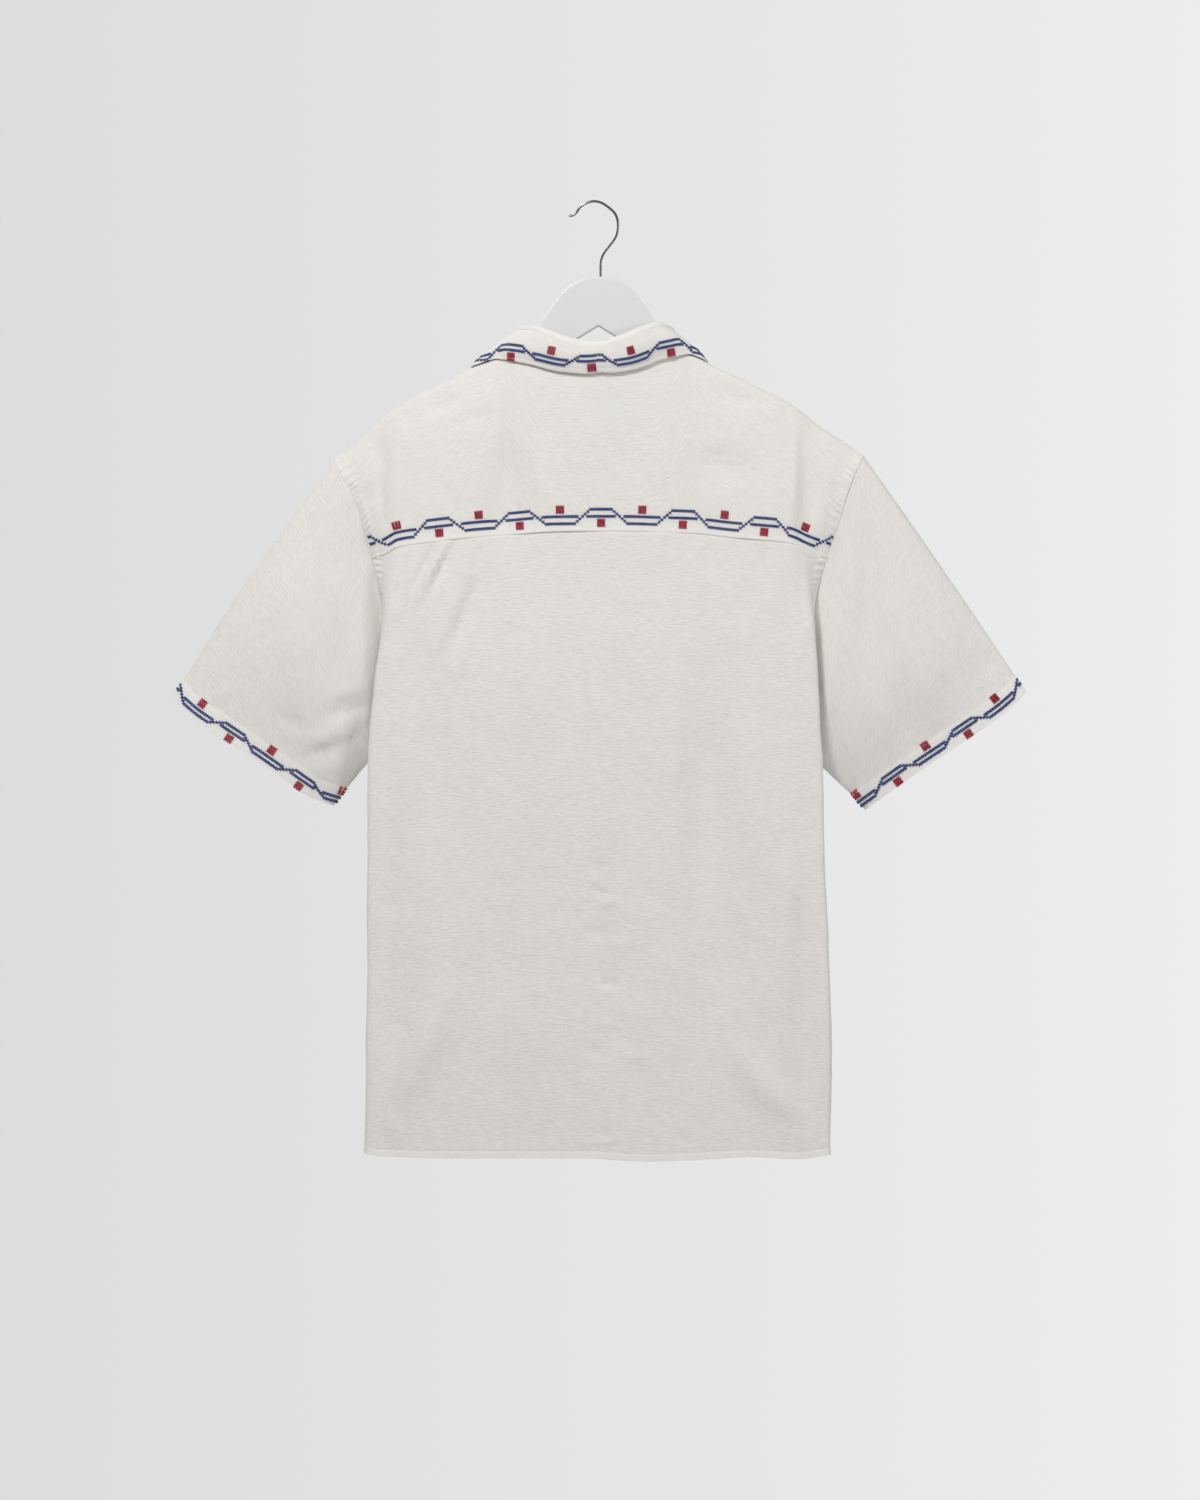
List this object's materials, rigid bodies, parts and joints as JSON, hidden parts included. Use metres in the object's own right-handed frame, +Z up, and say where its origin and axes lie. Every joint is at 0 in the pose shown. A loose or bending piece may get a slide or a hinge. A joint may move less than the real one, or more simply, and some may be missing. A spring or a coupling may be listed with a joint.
{
  "type": "short-sleeve shirt on a hanger",
  "caption": "Short-sleeve camp-collar shirt with a back yoke and cross-stitch borders, buttoned up on a flat white hanger with a wire hook.",
  "frame": {"origin": "underside of the hook's crown, where a rail carries the hanger, above the whole object's middle", "axes": "+Z up, +Y out of the shirt's buttoned front, so its back faces -Y, and +X to the wearer's right"},
  "size_m": [0.811, 0.0843, 0.9103],
  "materials": {
    "cotton_cloth": "matt off-white woven cotton with a slubby plain weave",
    "button": "off-white shell-like resin",
    "woven_label": "plain white woven tape",
    "hanger_white": "satin white lacquer",
    "hook_steel": "bright plated wire"
  },
  "bodies": {
    "root": {"back": "cotton_cloth", "yoke": "cotton_cloth", "front_left": "cotton_cloth", "front_right": "cotton_cloth", "sleeve_left": "cotton_cloth", "sleeve_right": "cotton_cloth", "collar": "cotton_cloth", "neck_label": "woven_label", "hanger_body": "hanger_white", "hanger_hook": "hook_steel", "button_1": "button", "button_2": "button", "button_3": "button", "button_4": "button", "button_5": "button", "button_6": "button"}
  },
  "joints": []
}
